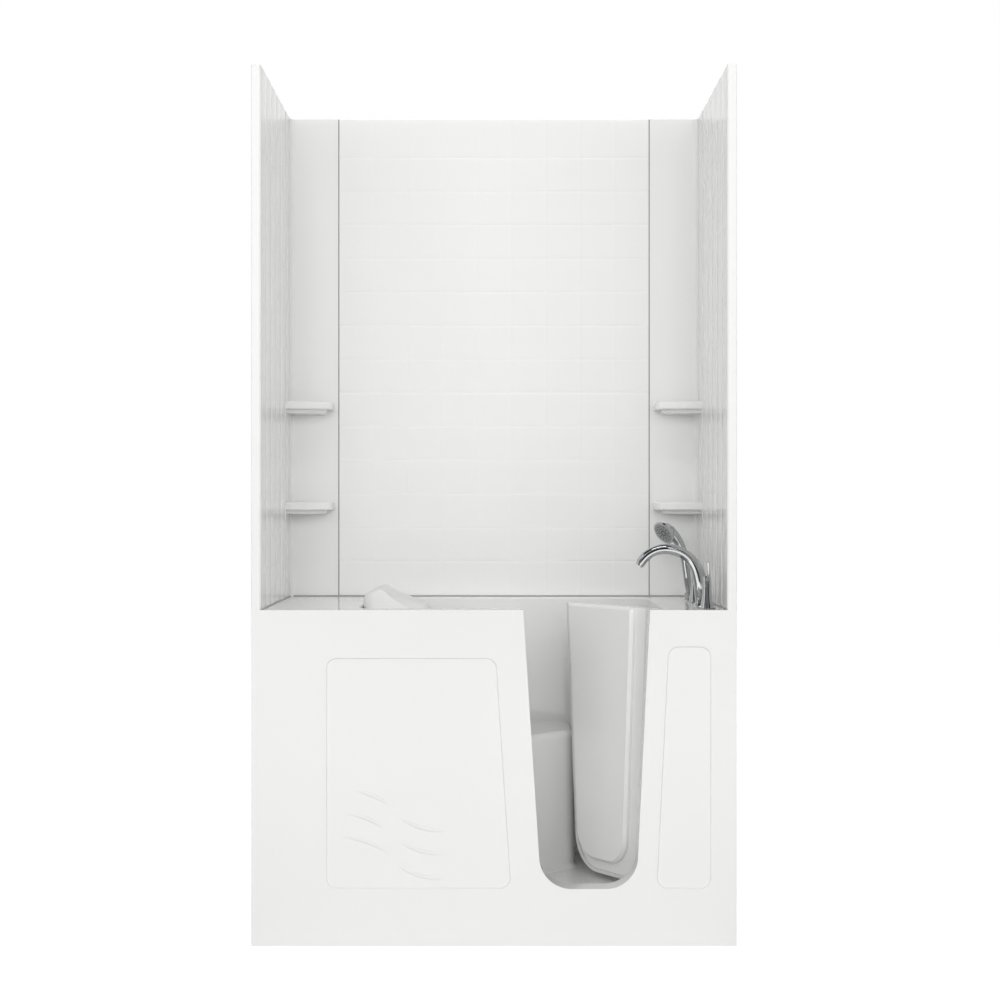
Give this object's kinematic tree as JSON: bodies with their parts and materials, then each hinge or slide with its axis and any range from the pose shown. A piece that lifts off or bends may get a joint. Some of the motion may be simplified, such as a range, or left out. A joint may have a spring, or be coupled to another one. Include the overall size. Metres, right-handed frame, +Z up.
{
  "type": "walk-in jetted bathtub",
  "caption": "White walk-in jetted bathtub with an inward side-hinged door, moulded seat, chrome deck taps and a tile-relief wall surround.",
  "frame": {"origin": "centre of the footprint on the floor", "axes": "+X to the right seen from the front, +Y to the back wall, +Z up"},
  "size_m": [1.35, 0.71, 2.454],
  "materials": {
    "acrylic": "gloss",
    "wall_acrylic": "gloss",
    "chrome": "polished",
    "stainless": "brushed",
    "frame_steel": "galvanised",
    "rubber": "matt",
    "foam": "soft skin",
    "pipe": "satin",
    "jet_plastic": "gloss",
    "pump_plastic": "satin",
    "motor_paint": "satin"
  },
  "bodies": {
    "tub": {"tub_shell": "acrylic", "front_apron": "acrylic", "back_panel": "wall_acrylic", "left_panel": "wall_acrylic", "right_panel": "wall_acrylic", "left_corner_column": "wall_acrylic", "right_corner_column": "wall_acrylic", "left_edge_trim": "wall_acrylic", "right_edge_trim": "wall_acrylic", "spout": "chrome", "spout_flange": "chrome", "spout_aerator": "chrome", "hot_valve_body": "chrome", "cold_valve_body": "chrome", "shower_holder": "chrome", "drain_body": "chrome", "overflow_plate": "chrome", "jamb_hinge_leaves": "stainless", "hinge_pins": "stainless", "latch_strike": "stainless", "control_plate": "stainless", "base_rails": "frame_steel", "cross_rails": "frame_steel", "frame_posts": "frame_steel", "foot_lock_nuts": "frame_steel", "levelling_feet": "frame_steel", "headrest_pillow": "foam", "waste_pipe": "pipe", "back_manifold": "pipe", "front_manifold": "pipe", "foot_manifold": "pipe", "suction_pipe": "pipe", "pressure_pipe": "pipe", "jet_bodies": "jet_plastic", "suction_cover": "jet_plastic", "pump_wet_end": "pump_plastic", "pump_base": "pump_plastic", "pump_motor": "motor_paint"},
    "door": {"door_panel": "acrylic", "door_seal": "rubber", "door_hinge_leaves": "stainless"},
    "latch": {"latch_lever": "chrome"},
    "hot_handle": {"hot_lever": "chrome"},
    "cold_handle": {"cold_lever": "chrome"},
    "shower": {"hand_shower": "chrome", "spray_face": "rubber"},
    "stopper": {"drain_stopper": "chrome"},
    "drain_knob": {"overflow_knob": "chrome"},
    "button": {"pump_button": "chrome"},
    "air_knob": {"air_control_knob": "chrome"},
    "nozzle_1": {"jet_nozzle_1": "jet_plastic"},
    "nozzle_2": {"jet_nozzle_2": "jet_plastic"},
    "nozzle_3": {"jet_nozzle_3": "jet_plastic"},
    "nozzle_4": {"jet_nozzle_4": "jet_plastic"},
    "nozzle_5": {"jet_nozzle_5": "jet_plastic"},
    "nozzle_6": {"jet_nozzle_6": "jet_plastic"}
  },
  "joints": [
    {"name": "door_swing", "type": "hinge", "parent": "tub", "child": "door", "pos_m": [0.458, -0.265, 0.55], "axis": [0, 0, 1], "range_deg": [-25, 55]},
    {"name": "latch_turn", "type": "hinge", "parent": "door", "child": "latch", "pos_m": [0.27805, 0.01989, 0.76], "axis": [0.8192, 0.5736, 0], "range_deg": [0, 90]},
    {"name": "hot_turn", "type": "hinge", "parent": "tub", "child": "hot_handle", "pos_m": [0.6, -0.292, 1.003], "axis": [0, 0, 1], "range_deg": [-90, 0]},
    {"name": "cold_turn", "type": "hinge", "parent": "tub", "child": "cold_handle", "pos_m": [0.6, -0.003, 1.003], "axis": [0, 0, 1], "range_deg": [0, 90]},
    {"name": "shower_lift", "type": "slide", "parent": "tub", "child": "shower", "axis": [-0.1392, 0, 0.9903], "range_m": [0, 0.12]},
    {"name": "drain_turn", "type": "hinge", "parent": "tub", "child": "drain_knob", "pos_m": [0.482, 0.177, 0.78], "axis": [-1, 0, 0], "range_deg": [0, 90]},
    {"name": "stopper_lift", "type": "slide", "parent": "tub", "child": "stopper", "axis": [0, 0, 1], "range_m": [0, 0.0081]},
    {"name": "button_press", "type": "slide", "parent": "tub", "child": "button", "axis": [0, -1, 0], "range_m": [0, 0.003], "stiffness_N_per_m": 300, "springref_m": -0.001},
    {"name": "air_turn", "type": "hinge", "parent": "tub", "child": "air_knob", "pos_m": [-0.1875, -0.285, 0.85], "axis": [0, 1, 0], "range_deg": [0, 270]},
    {"name": "nozzle_1_spin", "type": "hinge", "parent": "tub", "child": "nozzle_1", "pos_m": [-0.17, 0.287, 0.69], "axis": [0, -1, 0], "continuous": true},
    {"name": "nozzle_2_spin", "type": "hinge", "parent": "tub", "child": "nozzle_2", "pos_m": [-0.03, 0.287, 0.69], "axis": [0, -1, 0], "continuous": true},
    {"name": "nozzle_3_spin", "type": "hinge", "parent": "tub", "child": "nozzle_3", "pos_m": [-0.17, -0.285, 0.69], "axis": [0, 1, 0], "continuous": true},
    {"name": "nozzle_4_spin", "type": "hinge", "parent": "tub", "child": "nozzle_4", "pos_m": [-0.03, -0.285, 0.69], "axis": [0, 1, 0], "continuous": true},
    {"name": "nozzle_5_spin", "type": "hinge", "parent": "tub", "child": "nozzle_5", "pos_m": [0.3, 0.287, 0.3], "axis": [0, -1, 0], "continuous": true},
    {"name": "nozzle_6_spin", "type": "hinge", "parent": "tub", "child": "nozzle_6", "pos_m": [0.38, 0.287, 0.3], "axis": [0, -1, 0], "continuous": true}
  ],
  "couplings": [
    {"joint": "stopper_lift", "follows": "drain_turn", "m_per_rad": 0.005093}
  ]
}
